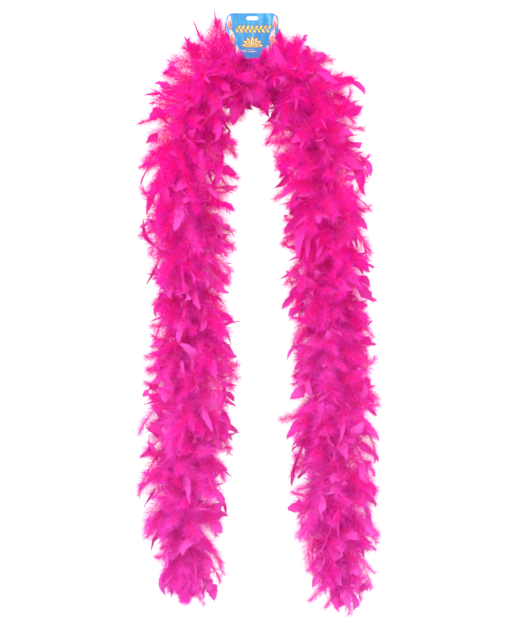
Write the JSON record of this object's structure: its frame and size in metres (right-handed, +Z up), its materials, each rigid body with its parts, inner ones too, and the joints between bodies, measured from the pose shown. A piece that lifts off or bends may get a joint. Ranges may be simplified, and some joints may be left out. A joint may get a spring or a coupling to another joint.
{
  "type": "feather boa",
  "caption": "Costume feather boa doubled over and hung from a folded header card, its twisted core carrying rows of feathers and bending link by link.",
  "frame": {"origin": "centre of the peg slot in the header card, half-way through the card", "axes": "+Z up the card, +X to the right as the printed face is seen, the printed face looks along -Y; the two legs of the boa hang along -Z"},
  "size_m": [0.3512, 0.1252, 0.9174],
  "materials": {
    "card": "gloss-coated print on white board",
    "wire": "bright",
    "cord": "twisted yarn",
    "thread": "wound thread",
    "feathers": "soft, dyed feathers and down"
  },
  "bodies": {
    "card": {"header_card": "card", "staple": "wire"},
    "arch": {"core_crown": "cord", "gripped_feathers": "feathers", "feathers_arch_left_1": "feathers", "feathers_arch_left_2": "feathers", "feathers_arch_left_3": "feathers", "feathers_arch_right_1": "feathers", "feathers_arch_right_2": "feathers", "feathers_arch_right_3": "feathers"},
    "left_1": {"core_left_1": "cord", "feathers_left_01": "feathers", "feathers_left_02": "feathers"},
    "left_2": {"core_left_2": "cord", "feathers_left_03": "feathers", "feathers_left_04": "feathers"},
    "left_3": {"core_left_3": "cord", "feathers_left_05": "feathers", "feathers_left_06": "feathers"},
    "left_4": {"core_left_4": "cord", "feathers_left_07": "feathers", "feathers_left_08": "feathers"},
    "left_5": {"core_left_5": "cord", "feathers_left_09": "feathers", "feathers_left_10": "feathers"},
    "left_6": {"core_left_6": "cord", "feathers_left_11": "feathers", "feathers_left_12": "feathers"},
    "left_7": {"core_left_7": "cord", "feathers_left_13": "feathers", "feathers_left_14": "feathers", "whipping_left": "thread"},
    "right_1": {"core_right_1": "cord", "feathers_right_01": "feathers", "feathers_right_02": "feathers"},
    "right_2": {"core_right_2": "cord", "feathers_right_03": "feathers", "feathers_right_04": "feathers"},
    "right_3": {"core_right_3": "cord", "feathers_right_05": "feathers", "feathers_right_06": "feathers"},
    "right_4": {"core_right_4": "cord", "feathers_right_07": "feathers", "feathers_right_08": "feathers"},
    "right_5": {"core_right_5": "cord", "feathers_right_09": "feathers", "feathers_right_10": "feathers"},
    "right_6": {"core_right_6": "cord", "feathers_right_11": "feathers", "feathers_right_12": "feathers"},
    "right_7": {"core_right_7": "cord", "feathers_right_13": "feathers", "feathers_right_14": "feathers", "whipping_right": "thread"}
  },
  "joints": [
    {"name": "strap_swing", "type": "hinge", "parent": "card", "child": "arch", "pos_m": [0, 0.0042, -0.063], "axis": [1, 0, 0], "range_deg": [-60, 60]},
    {"name": "left_1_fore_aft", "type": "hinge", "parent": "arch", "child": "left_1", "pos_m": [-0.09882, 0.0042, -0.16442], "axis": [1, 0, 0], "range_deg": [-35, 35]},
    {"name": "left_2_sideways", "type": "hinge", "parent": "left_1", "child": "left_2", "pos_m": [-0.10405, 0.0042, -0.26842], "axis": [0, -1, 0], "range_deg": [-35, 10]},
    {"name": "left_3_fore_aft", "type": "hinge", "parent": "left_2", "child": "left_3", "pos_m": [-0.10212, 0.0042, -0.37242], "axis": [1, 0, 0], "range_deg": [-35, 35]},
    {"name": "left_4_sideways", "type": "hinge", "parent": "left_3", "child": "left_4", "pos_m": [-0.09649, 0.0042, -0.47642], "axis": [0, -1, 0], "range_deg": [-35, 16]},
    {"name": "left_5_fore_aft", "type": "hinge", "parent": "left_4", "child": "left_5", "pos_m": [-0.09609, 0.0042, -0.58042], "axis": [1, 0, 0], "range_deg": [-35, 35]},
    {"name": "left_6_sideways", "type": "hinge", "parent": "left_5", "child": "left_6", "pos_m": [-0.10212, 0.0042, -0.68442], "axis": [0, -1, 0], "range_deg": [-35, 32]},
    {"name": "left_7_fore_aft", "type": "hinge", "parent": "left_6", "child": "left_7", "pos_m": [-0.10622, 0.0042, -0.78842], "axis": [1, 0, 0], "range_deg": [-35, 35]},
    {"name": "right_1_fore_aft", "type": "hinge", "parent": "arch", "child": "right_1", "pos_m": [0.09882, 0.0042, -0.16442], "axis": [1, 0, 0], "range_deg": [-35, 35]},
    {"name": "right_2_sideways", "type": "hinge", "parent": "right_1", "child": "right_2", "pos_m": [0.10855, 0.0042, -0.26842], "axis": [0, -1, 0], "range_deg": [-10, 35]},
    {"name": "right_3_fore_aft", "type": "hinge", "parent": "right_2", "child": "right_3", "pos_m": [0.11828, 0.0042, -0.37242], "axis": [1, 0, 0], "range_deg": [-35, 35]},
    {"name": "right_4_sideways", "type": "hinge", "parent": "right_3", "child": "right_4", "pos_m": [0.12368, 0.0042, -0.47642], "axis": [0, -1, 0], "range_deg": [-16, 35]},
    {"name": "right_5_fore_aft", "type": "hinge", "parent": "right_4", "child": "right_5", "pos_m": [0.12475, 0.0042, -0.58042], "axis": [1, 0, 0], "range_deg": [-35, 35]},
    {"name": "right_6_sideways", "type": "hinge", "parent": "right_5", "child": "right_6", "pos_m": [0.12582, 0.0042, -0.68442], "axis": [0, -1, 0], "range_deg": [-32, 35]},
    {"name": "right_7_fore_aft", "type": "hinge", "parent": "right_6", "child": "right_7", "pos_m": [0.13122, 0.0042, -0.78842], "axis": [1, 0, 0], "range_deg": [-35, 35]}
  ]
}
